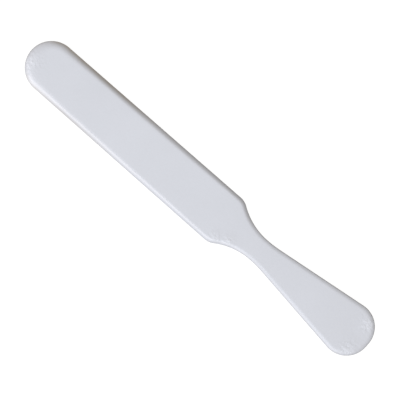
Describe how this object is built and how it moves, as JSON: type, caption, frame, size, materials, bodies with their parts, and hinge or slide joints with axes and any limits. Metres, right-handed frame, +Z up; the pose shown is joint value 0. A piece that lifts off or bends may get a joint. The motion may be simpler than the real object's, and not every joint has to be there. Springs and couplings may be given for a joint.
{
  "type": "bone folder",
  "caption": "White plastic bone folder: long flat blade with a rounded tip, waisted neck and flared rounded handle, for creasing, scoring and smoothing paper.",
  "frame": {"origin": "on the surface that the tool lies on, below the middle of its length and width", "axes": "+X along the tool, from the handle towards the blade's round tip; +Y across the blade; +Z up, out of the upper broad face"},
  "size_m": [0.203, 0.0252, 0.003],
  "materials": {
    "white_plastic": "smooth satin-gloss moulded plastic, cool white"
  },
  "bodies": {
    "root": {"folder_body": "white_plastic"}
  },
  "joints": []
}
